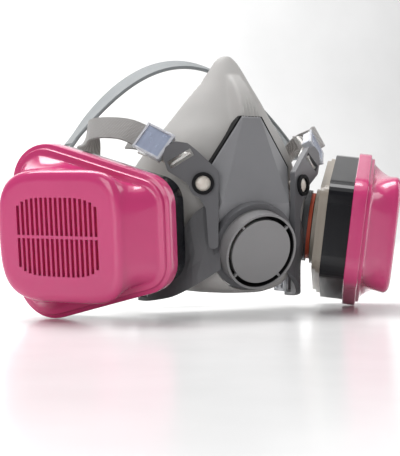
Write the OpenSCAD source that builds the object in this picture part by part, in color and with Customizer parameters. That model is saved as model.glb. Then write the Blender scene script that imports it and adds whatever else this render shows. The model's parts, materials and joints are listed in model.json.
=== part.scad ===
// Half-face respirator with two screw-on cartridges, a valve cover, a yoke and a strap harness.
// Front of the mask faces -Y, +X is the wearer's left, the lowest points stand on Z = 0.

/* [Facepiece] */
// Width of the facepiece at the cheeks
face_w = 105; // [102:1:108]
// Thickness of the rubber wall
face_wall = 2.6; // [2:0.1:3]
// Width of the soft sealing lip round the face opening
lip_w = 7; // [4:0.5:8]

/* [Exhalation valve] */
// Outside diameter of the valve cover
cover_d = 42; // [41:0.5:43]
// Angle by which the valve looks down
valve_pitch = 18; // [14:1:20]
// Width of each rib that holds the centre disc of the cover
rib_w = 1.3; // [1:0.1:2]
// Thickness of the yoke and the front shield
yoke_t = 3; // [2.4:0.1:3.2]

/* [Cartridges] */
// Length of the cartridge rim
rim_l = 92; // [90:1:94]
// Height of the cartridge rim at its rear end
rim_rear_h = 92; // [90:0.5:95]
// Height of the cartridge rim at its front end
rim_front_h = 61; // [58:1:64]
// Height of the raised filter cover above the rim
dome_h = 17; // [14:1:19]
// Slots in each row of the grille
grille_slots = 16; // [10:1:18]
// Outside diameter of the bayonet neck
neck_d = 27; // [24:0.5:28]

/* [Harness] */
// Width of the moulded crown band
crown_w = 15; // [12:1:18]
// Half span of the crown band between its ends
crown_half = 67; // [64:1:69]
// Width of the woven straps
strap_w = 13; // [11:0.5:13]
// Thickness of the woven straps
strap_t = 1.4; // [1:0.1:1.6]

/* [Hidden] */
$fn = 64;
FACET = 32;                 // facets of round shapes inside a hull
EPS = 0.01;
GAP = 0.3;                  // room between pieces that move past each other
FIT = 0.05;                 // radial room of a running fit

// ---- places, in the frame of the whole part ----
valve_y = -46.65;             // front plane of the exhalation valve
valve_z = 35;
port_pos = [56.1, valve_y + 34.8, 48.2];
port_turn = 53.5;           // the ports look sideways and forward
port_dip = 6.7;             // and a little down
port_roll = 1;
pin_pos = [30.7, valve_y + 8, 70.8];
arm_turn = 28.5;            // the arms of the yoke sweep back
slot_tilt = 31;             // the strap slots rise towards the middle

// ---- facepiece: one row per height, from chin to nose ----
// [height, half width, front, rear, exponent of the section's outline]
face_rows = [
    [12.4, 20, 17, 50, 2.5], [16, 33, 10.5, 58, 2.5], [24, 43, 8, 65, 2.5],
    [38, 50, 8.5, 69, 2.5], [55, 52.5, 10, 69, 2.5], [72, 50, 11.5, 64, 2.4],
    [86, 44, 12.5, 57, 2.3], [98, 36, 13.5, 52, 2.2], [108, 29, 17, 48, 2],
    [118, 22, 22, 44.5, 2], [127, 14.5, 26.5, 41.5, 2], [136, 9, 31.5, 40.5, 2],
    [142, 5, 35, 40.5, 2]
];
face_steps = 2;             // rings between two rows
face_sides = 30;            // points along each ring
face_scale = face_w / 105;
cavity_low = 1.1;           // rows between which the inside is hollow
cavity_high = 11.3;

// ---- exhalation valve, measured along its axis from the front plane ----
cover_r = cover_d / 2;
cover_ring_t = 1.2;
disc_r = 17.5;
cover_depth = 7;
flap_r = 14.5;
flap_t = 0.9;
seat_face = -10;            // the flap rests here
seat_back = -21;
seat_bore_r = 12.5;
stem_r = 1.6;
yoke_ring_r = cover_r + 3;
yoke_ring_front = -8;
yoke_ring_back = -17;

// ---- bayonet port, measured along its axis from the cartridge's base plane ----
boss_r = 22.5;
boss_back = -16;
flange_r = 20.5;
flange_front = -2.6;
flange_back = -6;
neck_r = neck_d / 2;
neck_bore_r = neck_r - 2.5;
neck_front = 5.4;
lug_r = neck_r + 2.2;
lug_back = 3.2;
lug_angle = 32;
lug_count = 3;
lug_step = 90;              // turn between the locked and the free position
port_tail = -18;
gasket_t = 2;
inhale_r = 12.6;
inhale_t = 0.7;

// ---- cartridge, measured along the port axis ----
rim_shift = 11.8;            // the rim reaches further back than forward of the port
plateau_shift = 20;          // and the plateau sits a little nearer to its rear
rim_rear_corner = 21;
rim_front_corner = 16;
rim_steps = 7;              // segments in each corner of the rim
foot_inset = 6.5;
foot_low = 2.5;             // only the round hub of the base reaches further in
foot_h = 4.8;
base_inset = 5;
base_h = 7.4;
body_inset = 2.5;
body_top = 21;
rim_top = 30;
plateau_z = rim_top + dome_h;
plateau_l = 68;
plateau_h = 62;
shoulder_drop = 3.5;
cover_wall = 1.8;
socket_r = neck_r + 0.35;
lug_room_r = lug_r + 0.4;
grille_l = 46;
grille_h = 39;
grille_bar = 1.6;
slot_share = 0.5;           // open part of each pitch of the grille

// ---- harness ----
crown_y = valve_y + 89;
crown_top = 145.2;
crown_drop = 102;           // the arch falls by x * x / crown_drop
crown_t = 2;
crown_yaw = 4;              // the band lies a little askew
crown_steps = 12;
tab_l = 15;
near_pt = [45.4, valve_y + 19, 88.5];   // strap slot's end of the upper buckle
far_pt = [53.5, valve_y + 31, 95.5];    // where the strap leaves the buckle
loop_back = 7.8;            // from there back into the yoke's slot
strap_lead = 4.5;           // the swinging strap starts this far behind the buckle
lower_slot = [46.5, valve_y + 43, 17];
neck_axis_y = valve_y + 58;
neck_z = 18;
neck_route = [[49, neck_axis_y + 7, neck_z], [52, valve_y + 69, 19], [51, valve_y + 79, 20],
              [43, valve_y + 89, 21], [29, valve_y + 94.5, 21], [12, valve_y + 95, 21]];
upper_route = [[62, valve_y + 40, 100], [68.5, valve_y + 48, 101.5], [71.5, valve_y + 60, 100.5]];
strap_steps = 5;

// ---- small helpers ----

function unit(v) = v / norm(v);

// Smooth curve through the items of a list; t runs from 0 to len(p) - 1.
function curve(p, t) =
    let (i = min(floor(t), len(p) - 2), f = t - i,
         a = p[max(i - 1, 0)], b = p[i], c = p[i + 1], d = p[min(i + 2, len(p) - 1)])
    b + 0.5 * f * (c - a + f * (2 * a - 5 * b + 4 * c - d + f * (3 * (b - c) + d - a)));

// Faces of a tube whose rings have n points each, closed by a cap at both ends.
function tube_faces(rings, n) = concat(
    [[for (j = [0 : n - 1]) j]],
    [for (i = [0 : rings - 2], j = [0 : n - 1])
        let (k = (j + 1) % n, a = i * n) [a + j, a + n + j, a + n + k, a + k]],
    [[for (j = [n - 1 : -1 : 0]) (rings - 1) * n + j]]
);

// The same in triangles, for a sheet whose rings run along one face and back along the other.
function strip_faces(rings, n) = concat(
    [for (j = [0 : n / 2 - 2]) each [[j, j + 1, n - 2 - j], [j, n - 2 - j, n - 1 - j]]],
    [for (i = [0 : rings - 2], j = [0 : n - 1])
        let (k = (j + 1) % n, a = i * n)
        each [[a + j, a + n + j, a + n + k], [a + j, a + n + k, a + k]]],
    [for (j = [0 : n / 2 - 2]) let (a = (rings - 1) * n)
        each [[a + n - 2 - j, a + j + 1, a + j], [a + n - 1 - j, a + n - 2 - j, a + j]]]
);

// Flat strap along a route; edges gives the direction across the strap at each point of the route.
module ribbon(route, edges, width, thickness) {
    count = (len(route) - 1) * strap_steps;
    rings = [for (i = [0 : count])
        let (t = i / strap_steps,
             p = curve(route, t),
             ahead = unit(curve(route, min(t + 0.1, len(route) - 1)) - curve(route, max(t - 0.1, 0))),
             e = curve(edges, t),
             across = unit(e - (e * ahead) * ahead),
             face = cross(ahead, across))
        for (c = [[-1, -1], [1, -1], [1, 1], [-1, 1]])
            p + across * (c[0] * width / 2) + face * (c[1] * thickness / 2)];
    polyhedron(rings, strip_faces(count + 1, 4), convexity = 6);
}

// Puts children at a point, with the given directions of their own X and Y.
module placed(at, x, y) {
    z = cross(x, y);
    multmatrix([[x[0], y[0], z[0], at[0]], [x[1], y[1], z[1], at[1]], [x[2], y[2], z[2], at[2]], [0, 0, 0, 1]])
        children();
}

// side is 1 for the wearer's left and -1 for the right.
module mirrored(side) {
    mirror([side < 0 ? 1 : 0, 0, 0]) children();
}

// Children's +Z is the axis of the exhalation valve, looking out.
module at_valve() {
    translate([0, valve_y, valve_z]) rotate([90 + valve_pitch, 0, 0]) children();
}

// Children's +Z is the axis of a port, looking out; +X goes to the rear and +Y up.
module at_port(side) {
    mirrored(side)
        translate(port_pos) rotate([0, 0, port_turn]) rotate([90 + port_dip, 0, 0])
            rotate([0, 0, port_roll]) children();
}

// Children's +Z looks out of an arm of the yoke, +X goes outwards along it and +Y up.
module at_arm(side) {
    mirrored(side) translate(pin_pos) rotate([0, 0, arm_turn]) rotate([90, 0, 0]) children();
}

module ring(outer, inner, low, high) {
    difference() {
        translate([0, 0, low]) cylinder(h = high - low, r = outer);
        translate([0, 0, low - 1]) cylinder(h = high - low + 2, r = inner);
    }
}

// ---- facepiece ----

function face_row(t) = curve(face_rows, t);

// One ring of the facepiece: a rounded U, open to the rear, closed by a straight line.
function face_ring(t, inset, rear_in) =
    let (r = face_row(t), w = r[1] * face_scale - inset, front = valve_y + r[2] + inset,
         rear = valve_y + r[3] - rear_in, deep = rear - front, power = 2 / r[4])
    [for (j = [0 : face_sides])
        let (a = 180 - 180 * j / face_sides, c = cos(a), s = max(sin(a), 0))
        [w * sign(c) * pow(abs(c), power), rear - deep * pow(s, power), r[0]]];

module face_solid(inset, rear_in, low, high) {
    steps = round((high - low) * face_steps);
    points = [for (i = [0 : steps]) each face_ring(low + (high - low) * i / steps, inset, rear_in)];
    polyhedron(points, tube_faces(steps + 1, face_sides + 1), convexity = 6);
}

// Rounded corners that make the rubber boss run into the cheek round each port.
module port_boss(side) {
    at_port(side) hull() {
        translate([0, 0, flange_back - 3]) cylinder(h = 3, r = boss_r, $fn = FACET);
        translate([2, 0, boss_back]) cylinder(h = 1, r = boss_r + 1.5, $fn = FACET);
    }
}

module facepiece() {
    color([0.66, 0.65, 0.64])
        difference() {
            union() {
                face_solid(0, 0, 0, len(face_rows) - 1);
                for (side = [-1, 1]) port_boss(side);
            }
            face_solid(face_wall, 3, cavity_low, cavity_high);
            face_solid(lip_w, -6, cavity_low + 0.4, cavity_high - 0.6);
            at_valve() translate([0, 0, seat_back - 4]) cylinder(h = 40, r = cover_r + 0.2);
            at_valve() translate([0, 0, yoke_ring_back - GAP]) cylinder(h = 30, r = yoke_ring_r + GAP);
            for (side = [-1, 1]) at_port(side) {
                translate([0, 0, flange_back]) cylinder(h = 30, r = boss_r + 6);
                translate([0, 0, -40]) cylinder(h = 60, r = neck_r + 1.5 + 0.1);
            }
        }
}

// ---- front shield ----

shield_top = [5.2, 9.8, 106];       // half width, distance behind the valve plane, height
shield_base = [20, 5.2, 61];
shield_low = [20, 8.5, 50];
shield_corner = [22.8, 11.2, 80];
shield_side = [22.8, 8, 53];

module shield_point(p, side, back, r) {
    translate([side * p[0], valve_y + p[1] + back + r, p[2]]) sphere(r = r, $fn = 16);
}

module front_shield() {
    edge_r = 1;
    color([0.44, 0.44, 0.45])
        difference() {
            hull() {
                for (side = [-1, 1]) {
                    shield_point(shield_top, side, 0, edge_r);
                    shield_point(shield_base, side, 0, edge_r);
                    shield_point(shield_low, side, 0, edge_r);
                    shield_point(shield_corner, side, 0, edge_r);
                    shield_point(shield_side, side, 0, edge_r);
                    shield_point(shield_side, side, 5, edge_r);
                    shield_point(shield_top, side, 1.5, edge_r);
                    shield_point(shield_low, side, 6, edge_r);
                }
            }
            face_solid(-0.1, 0, 3, 9);
            at_valve() translate([0, 0, seat_back - 10]) cylinder(h = 60, r = cover_r + 0.15);
            at_valve() translate([0, 0, yoke_ring_back - 20]) cylinder(h = 20 - yoke_ring_front
                + yoke_ring_back + GAP, r = yoke_ring_r + 0.15);
        }
}

// ---- exhalation valve ----

module valve_seat() {
    spoke_w = 2;
    color([0.5, 0.5, 0.51])
        at_valve() {
            ring(cover_r, cover_r - 2.4, seat_back, -cover_depth - GAP);
            ring(cover_r - 2.4 + EPS, seat_bore_r, seat_face - 3, seat_face - 0.6);
            ring(seat_bore_r + 1.2, seat_bore_r, seat_face - 3, seat_face);
            difference() {
                union() {
                    translate([0, 0, seat_face - 3]) cylinder(h = 2.4, r = 3.6);
                    for (a = [0, 90]) rotate([0, 0, a])
                        translate([-seat_bore_r - 0.4, -spoke_w / 2, seat_face - 3])
                            cube([2 * seat_bore_r + 0.8, spoke_w, 2]);
                }
                translate([0, 0, seat_face - 4]) cylinder(h = 6, r = stem_r + FIT);
            }
        }
}

module exhalation_valve() {
    color([0.9, 0.88, 0.82])
        at_valve() {
            translate([0, 0, seat_face + EPS]) cylinder(h = flap_t, r = flap_r);
            translate([0, 0, seat_face - 5.6]) cylinder(h = 5.6 + 2 * EPS, r = stem_r);
            translate([0, 0, seat_face - 6.6]) cylinder(h = 1.6, r = stem_r + 0.9);
        }
}

module valve_cover() {
    gap_r = cover_r - cover_ring_t;
    color([0.5, 0.5, 0.5])
        at_valve() {
            ring(cover_r, gap_r, -cover_depth, 0.4);
            translate([0, 0, -1.8]) cylinder(h = 1.8, r = disc_r);
            for (a = [45 : 90 : 315]) rotate([0, 0, a])
                translate([disc_r - 0.3, -rib_w / 2, -1.8]) cube([gap_r - disc_r + 0.6, rib_w, 1.6]);
        }
}

// ---- yoke ----

// Outline of an arm, in the arm's own plane, with the pin at the origin.
module arm_outline() {
    offset(r = 2.4) offset(delta = -2.4)
        polygon([[-8, -34], [-8.2, 6.5], [3, 17], [8, 21], [14.5, 22], [19.5, 19],
                 [21, 14], [18.5, 6.5], [9, 0.5], [3, -6], [-1.5, -13], [-3, -34]]);
    circle(r = 7.6);
}

module arm_slot() {
    translate([11.6, 13]) rotate(-slot_tilt) square([strap_w + 0.8, 4.2], center = true);
}

module yoke_arm(side) {
    rib_low = -33;
    rib_high = -9;
    at_arm(side)
        difference() {
            union() {
                translate([0, 0, -yoke_t]) linear_extrude(height = yoke_t) difference() {
                    arm_outline();
                    arm_slot();
                }
                translate([-7.6, rib_low, -yoke_t - 5]) cube([4.4, rib_high - rib_low, 6]);
            }
            translate([0, 0, -yoke_t - 6]) cylinder(h = yoke_t + 8, r = 3 + FIT);
        }
}

// Edges of the wing, from its front end to its rear end: angle along the section, lowest and highest point.
wing_edges = [[71, 26, 62], [60, 20, 56], [49, 15, 44], [38, 11, 32], [27, 9, 28], [19, 8, 26], [12, 8, 26]];
wing_row = 2.45;            // row of face_rows whose outline the wing keeps below
wing_steps = 3;
wing_cols = 6;

// Row number of face_rows at a height.
function row_at(z) = lookup(z, [for (i = [0 : len(face_rows) - 1]) [face_rows[i][0], i]]);

function wing_point(a, z, off) =
    let (r = face_row(max(row_at(z), wing_row)), w = r[1] * face_scale + off,
         front = valve_y + r[2] - off, rear = valve_y + r[3], power = 2 / r[4])
    [w * pow(cos(a), power), rear - (rear - front) * pow(sin(a), power), z];

// Wing: a sheet that follows the cheek back and down from the ring and carries the neck strap.
module yoke_wing(side) {
    count = (len(wing_edges) - 1) * wing_steps;
    inner = 0.3;
    outer = inner + yoke_t - 0.4;
    rings = [for (i = [0 : count])
        let (e = curve(wing_edges, i / wing_steps))
        each concat(
            [for (j = [0 : wing_cols]) wing_point(e[0], e[1] + (e[2] - e[1]) * j / wing_cols, inner)],
            [for (j = [wing_cols : -1 : 0]) wing_point(e[0], e[1] + (e[2] - e[1]) * j / wing_cols, outer)])];
    mirrored(side) difference() {
        polyhedron(rings, strip_faces(count + 1, 2 * (wing_cols + 1)), convexity = 8);
        translate([lower_slot[0] - 8, lower_slot[1] - 2.4, lower_slot[2] - strap_w / 2 - 0.4])
            cube([16, 4.8, strap_w - 1.2]);
    }
}

module yoke() {
    color([0.4, 0.4, 0.41])
        difference() {
            union() {
                at_valve() translate([0, 0, yoke_ring_back])
                    cylinder(h = yoke_ring_front - yoke_ring_back, r = yoke_ring_r);
                for (side = [-1, 1]) {
                    yoke_arm(side);
                    yoke_wing(side);
                }
            }
            at_valve() translate([0, 0, seat_back - 20]) cylinder(h = 70, r = cover_r + 0.1);
        }
}

module yoke_pin(side) {
    color([0.86, 0.83, 0.76])
        at_arm(side) {
            translate([0, 0, -yoke_t - 4]) cylinder(h = yoke_t + 4 + EPS, r = 3);
            intersection() {
                translate([0, 0, -6.2]) sphere(r = 7.6);
                translate([0, 0, 0]) cylinder(h = 4, r = 4);
            }
        }
}

module pin_grommet(side) {
    color([0.06, 0.06, 0.07])
        at_arm(side) ring(5.8, 4.1, 0, 1.6);
}

// ---- inhalation ports ----

module bayonet_lugs(outer, low, high, spread) {
    for (i = [0 : lug_count - 1]) rotate([0, 0, i * 360 / lug_count])
        rotate([0, 0, -spread / 2])
            translate([0, 0, low]) rotate_extrude(angle = spread)
                translate([neck_r - 1, 0]) square([outer - neck_r + 1, high - low]);
}

module port(side) {
    spoke_w = 2;
    hub_r = 3.4;
    color([0.25, 0.25, 0.26])
        at_port(side) {
            difference() {
                union() {
                    translate([0, 0, flange_back]) cylinder(h = flange_front - flange_back, r = flange_r);
                    translate([0, 0, port_tail]) cylinder(h = flange_back - port_tail + 1, r = neck_r + 1.5);
                    translate([0, 0, flange_front - 1]) cylinder(h = neck_front - flange_front + 1, r = neck_r);
                    bayonet_lugs(lug_r, lug_back, neck_front - 0.3, lug_angle);
                }
                translate([0, 0, port_tail - 1]) cylinder(h = neck_front - port_tail + 2, r = neck_bore_r);
            }
            difference() {
                union() {
                    translate([0, 0, port_tail]) cylinder(h = 2.3, r = hub_r);
                    for (a = [30 : 60 : 150]) rotate([0, 0, a])
                        translate([-neck_bore_r - 0.4, -spoke_w / 2, port_tail + 0.1])
                            cube([2 * neck_bore_r + 0.8, spoke_w, 2]);
                }
                translate([0, 0, port_tail - 1]) cylinder(h = 5, r = stem_r + FIT);
            }
        }
}

module port_gasket(side) {
    color([0.86, 0.3, 0.16])
        at_port(side) ring(flange_r - 1.5, neck_r + 0.1, flange_front, flange_front + gasket_t);
}

// The flap hangs on the inner end of the port and opens inwards.
module inhalation_valve(side) {
    color([0.9, 0.88, 0.82])
        at_port(side) {
            translate([0, 0, port_tail - inhale_t - EPS]) cylinder(h = inhale_t, r = inhale_r);
            translate([0, 0, port_tail - inhale_t]) cylinder(h = inhale_t + 4.6, r = stem_r);
            translate([0, 0, port_tail + 3.6]) cylinder(h = 1.4, r = stem_r + 0.9);
        }
}

// ---- cartridges ----

// Points along a corner, from one direction to another.
function corner_arc(at, r, first, last) =
    [for (i = [0 : rim_steps]) let (a = first + (last - first) * i / rim_steps) at + r * [cos(a), sin(a)]];

// Outline of the cartridge's rim, pulled in all round by inset.
module rim_outline(inset) {
    front_r = max(rim_front_corner - inset, 1);
    rear_r = max(rim_rear_corner - inset, 1);
    front_at = [rim_shift - rim_l / 2 + inset + front_r, rim_front_h / 2 - inset - front_r];
    rear_at = [rim_shift + rim_l / 2 - inset - rear_r, rim_rear_h / 2 - inset - rear_r];
    reach = front_at - rear_at;
    side_a = 180 + atan2(-reach[1], -reach[0]) - acos((rear_r - front_r) / norm(reach));
    upper = concat(corner_arc(rear_at, rear_r, 0, side_a), corner_arc(front_at, front_r, side_a, 180));
    last = len(upper) - 1;
    polygon(concat(upper, [for (i = [last : -1 : 0]) [upper[i][0], -upper[i][1]]]));
}

module slab(inset, low, high) {
    translate([0, 0, low]) linear_extrude(height = high - low) rim_outline(inset);
}

// Barrel-shaped outline of the plateau, pulled in by inset.
module plateau_outline(inset) {
    half = plateau_l / 2 - inset;
    tall = plateau_h / 2 - inset;
    translate([plateau_shift, 0])
        polygon([for (a = [0 : 7.5 : 352.5])
            [half * sign(cos(a)) * pow(abs(cos(a)), cos(a) > 0 ? 0.5 : 0.36),
             tall * sign(sin(a)) * pow(abs(sin(a)), cos(a) > 0 ? 0.62 : 0.5)]]);
}

module dome(inset) {
    hull() {
        translate([0, 0, rim_top - 2]) linear_extrude(height = EPS) rim_outline(4 + inset);
        translate([0, 0, rim_top + 2 - inset]) linear_extrude(height = EPS) rim_outline(6.5 + inset);
        translate([0, 0, plateau_z - shoulder_drop - inset]) linear_extrude(height = EPS)
            plateau_outline(inset - 3);
        translate([0, 0, plateau_z - inset - EPS]) linear_extrude(height = EPS) plateau_outline(inset);
    }
}

module cartridge_base(side) {
    color([0.8, 0.77, 0.69])
        at_port(side) difference() {
            union() {
                cylinder(h = foot_low + 1, r = flange_r + 1);
                slab(foot_inset, foot_low, foot_h);
                slab(base_inset, foot_h, base_h);
            }
            translate([0, 0, -1]) cylinder(h = base_h - 0.6, r = socket_r);
            translate([0, 0, -1]) cylinder(h = base_h + 2, r = neck_bore_r);
            translate([0, 0, 2.8]) cylinder(h = neck_front + GAP - 2.8, r = lug_room_r);
            rotate([0, 0, -side * lug_step]) translate([0, 0, -1]) bayonet_lugs(lug_room_r, 0, 5, lug_angle + 6);
        }
}

module canister(side) {
    wall = 1.4;
    color([0.07, 0.07, 0.08])
        at_port(side) difference() {
            slab(body_inset, base_h, body_top);
            slab(body_inset + wall, base_h + wall, body_top + 1);
            translate([0, 0, base_h - 1]) cylinder(h = 4, r = neck_bore_r);
        }
}

module carbon_bed(side) {
    color([0.12, 0.12, 0.12])
        at_port(side) slab(body_inset + 1.5, base_h + 1.5, body_top - 2);
}

module retaining_grid(side) {
    hole_pitch = 14;
    color([0.82, 0.82, 0.8])
        at_port(side) difference() {
            slab(body_inset + 1.5, body_top - 1.9, body_top - 0.2);
            for (x = [-1 : 2], y = [-1 : 1])
                translate([rim_shift - hole_pitch / 2 + x * hole_pitch, y * hole_pitch, body_top - 3])
                    cylinder(h = 4, r = 4.5);
        }
}

module particle_filter(side) {
    color([0.93, 0.85, 0.88])
        at_port(side) hull() {
            slab(6.2, body_top + GAP, rim_top - 2);
            translate([0, 0, plateau_z - 5]) linear_extrude(height = 1) plateau_outline(4.4);
        }
}

// Half height of the grille at a distance from its middle.
function grille_half(x) = grille_h / 2 * pow(1 - pow(abs(x) / (grille_l / 2 + 2), 4), 0.3);

module grille() {
    pitch = grille_l / grille_slots;
    for (i = [0 : grille_slots - 1]) {
        x = (i + 0.5) * pitch - grille_l / 2;
        for (up = [0, 1]) mirror([0, up, 0])
            translate([plateau_shift + x - pitch * slot_share / 2, grille_bar / 2, plateau_z - 6])
                cube([pitch * slot_share, grille_half(x) - grille_bar / 2, 10]);
    }
}

module cartridge_cover(side) {
    color([0.83, 0.36, 0.55])
        at_port(side) difference() {
            union() {
                slab(0, body_top + EPS, rim_top - 3);
                slab(1.6, rim_top - 3.2, rim_top);
                dome(0);
            }
            slab(body_inset + 0.9, body_top - 1, body_top + 3);
            slab(6, body_top, rim_top - 1.5);
            dome(cover_wall);
            grille();
        }
}

// ---- harness ----

// Directions of the upper buckle: across the strap and along it.
buckle_along = unit(far_pt - near_pt);
slot_dir = [-0.75, -0.43, 0.5];
buckle_across = -unit(slot_dir - (slot_dir * buckle_along) * buckle_along);
buckle_l = norm(far_pt - near_pt);
buckle_w = strap_w + 2.8;

// Ladder buckle: two plates on two cheeks, with the strap running between the plates.
module buckle_body(length, width) {
    plate_t = 1.3;
    room = strap_t * 2 + 1;
    difference() {
        translate([-width / 2, 0, -plate_t - room]) cube([width, length, room + 2 * plate_t]);
        translate([-width / 2 + 1.1, -1, -room]) cube([width - 2.2, length + 2, room]);
        translate([-width / 2 + 1.8, length * 0.2, -room - 2 * plate_t])
            cube([width - 3.6, length * 0.22, room + plate_t * 1.5]);
        translate([-width / 2 + 1.8, length * 0.62, -room - 2 * plate_t])
            cube([width - 3.6, length * 0.2, room + plate_t * 1.5]);
    }
}

module upper_buckle(side) {
    color([0.75, 0.8, 0.86, 0.5])
        mirrored(side) placed(near_pt + buckle_along * 1.5, buckle_across, buckle_along)
            translate([0, 0, 1.2]) buckle_body(buckle_l - 1, buckle_w);
}

// Fixed end of the upper strap: through the buckle, round the yoke's slot and back as a loose tail.
module strap_tail(side) {
    color([0.6, 0.6, 0.59])
        mirrored(side) placed(near_pt, buckle_across, buckle_along) {
            translate([-strap_w / 2, -loop_back, -0.2]) cube([strap_w, loop_back + buckle_l + 1.5, strap_t]);
            translate([-strap_w / 2, -loop_back, -0.6 - strap_t])
                cube([strap_w, loop_back + buckle_l + 1.5, strap_t]);
            translate([-strap_w / 2, -loop_back - strap_t, -0.6 - strap_t])
                cube([strap_w, strap_t + EPS, 2 * strap_t + 0.4]);
        }
}

// Height of the middle of the crown band at a distance from its apex, and its slope there.
function crown_height(x) = crown_top - crown_t / 2 - x * x / crown_drop;

// Lower end of the crown band on one side, with the band's yaw.
function crown_tip(side, x, z) = [x * cos(crown_yaw), crown_y - side * x * sin(crown_yaw), z];

module upper_strap(side) {
    tip = crown_tip(side, crown_half, crown_height(crown_half));
    route = concat([far_pt + buckle_along * strap_lead], upper_route,
        [tip + [4, -19, -2], tip + [2.5, -11, -7], tip + [0.5, -5, -13]]);
    edges = [-buckle_across, [-0.58, 0.1, 0.81], [-0.6, 0.15, 0.78], [-0.5, 0.3, 0.75],
             [-0.1, 0.6, 0.75], [0.4, 0.75, 0.4], [0.6, 0.75, 0.1]];
    color([0.62, 0.62, 0.61])
        mirrored(side) ribbon(route, edges, strap_w, strap_t);
}

module crown_band() {
    slot_l = strap_w + 1.6;
    slope = atan(2 * crown_half / crown_drop);
    arch = [for (i = [0 : crown_steps])
        let (x = crown_half * (2 * i / crown_steps - 1)) [x, 0, crown_height(x)]];
    color([0.5, 0.51, 0.52])
        translate([0, crown_y, 0]) rotate([0, 0, -crown_yaw]) {
            ribbon(arch, [for (p = arch) [0, 1, 0]], crown_w, crown_t);
            for (side = [-1, 1]) mirrored(side)
                translate([crown_half, 0, crown_height(crown_half)]) rotate([0, slope, 0])
                    difference() {
                        translate([-1, -slot_l / 2 - 2, -crown_t / 2])
                            cube([tab_l, slot_l + 4, crown_t]);
                        translate([tab_l - 8, -slot_l / 2, -crown_t]) cube([4.4, slot_l, 2 * crown_t]);
                    }
        }
}

module lower_buckle(side) {
    length = 13.5;
    color([0.75, 0.8, 0.86, 0.5])
        mirrored(side) placed([lower_slot[0] + 1.2, lower_slot[1] + 2, neck_z], [0, 0, -1], [0, 1, 0])
            translate([0, 0, 1.4]) buckle_body(length, buckle_w);
}

module neck_strap(side) {
    color([0.62, 0.62, 0.61])
        mirrored(side) ribbon(neck_route, [for (p = neck_route) [0, 0, 1]], strap_w, strap_t);
}

// The two halves of the neck clasp: a hook plate and the frame that it drops into.
module neck_loop() {
    color([0.2, 0.2, 0.21])
        translate([0, valve_y + 95, 21]) difference() {
            translate([1, -1.5, -9.5]) cube([12, 3, 19]);
            translate([3.4, -3, -6.5]) cube([4, 6, 13]);
            translate([9.4, -3, -strap_w / 2 - 0.3]) cube([2.2, 6, strap_w + 0.6]);
        }
}

module neck_hook() {
    color([0.2, 0.2, 0.21])
        translate([0, valve_y + 95, 21]) difference() {
            union() {
                translate([-13, -1.5, -9.5]) cube([12, 3, 19]);
                translate([-2, 1.8, -6]) cube([9, 1.6, 12]);
                translate([-2, 1.4, -6]) cube([1, 1, 12]);
            }
            translate([-11.6, -3, -strap_w / 2 - 0.3]) cube([2.2, 6, strap_w + 0.6]);
        }
}

facepiece();
front_shield();
valve_seat();
exhalation_valve();
valve_cover();
yoke();
yoke_pin(1);  // yoke_pin_left
yoke_pin(-1);  // yoke_pin_right
pin_grommet(1);  // pin_grommet_left
pin_grommet(-1);  // pin_grommet_right
port(1);  // port_left
port(-1);  // port_right
port_gasket(1);  // port_gasket_left
port_gasket(-1);  // port_gasket_right
inhalation_valve(1);  // inhalation_valve_left
inhalation_valve(-1);  // inhalation_valve_right
cartridge_base(1);  // cartridge_base_left
cartridge_base(-1);  // cartridge_base_right
canister(1);  // canister_left
canister(-1);  // canister_right
carbon_bed(1);  // carbon_bed_left
carbon_bed(-1);  // carbon_bed_right
retaining_grid(1);  // retaining_grid_left
retaining_grid(-1);  // retaining_grid_right
particle_filter(1);  // particle_filter_left
particle_filter(-1);  // particle_filter_right
cartridge_cover(1);  // cartridge_cover_left
cartridge_cover(-1);  // cartridge_cover_right
upper_buckle(1);  // upper_buckle_left
upper_buckle(-1);  // upper_buckle_right
strap_tail(1);  // strap_tail_left
strap_tail(-1);  // strap_tail_right
upper_strap(1);  // upper_strap_left
upper_strap(-1);  // upper_strap_right
crown_band();
lower_buckle(1);  // lower_buckle_left
lower_buckle(-1);  // lower_buckle_right
neck_strap(1);  // neck_strap_left
neck_strap(-1);  // neck_strap_right
neck_hook();
neck_loop();
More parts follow.
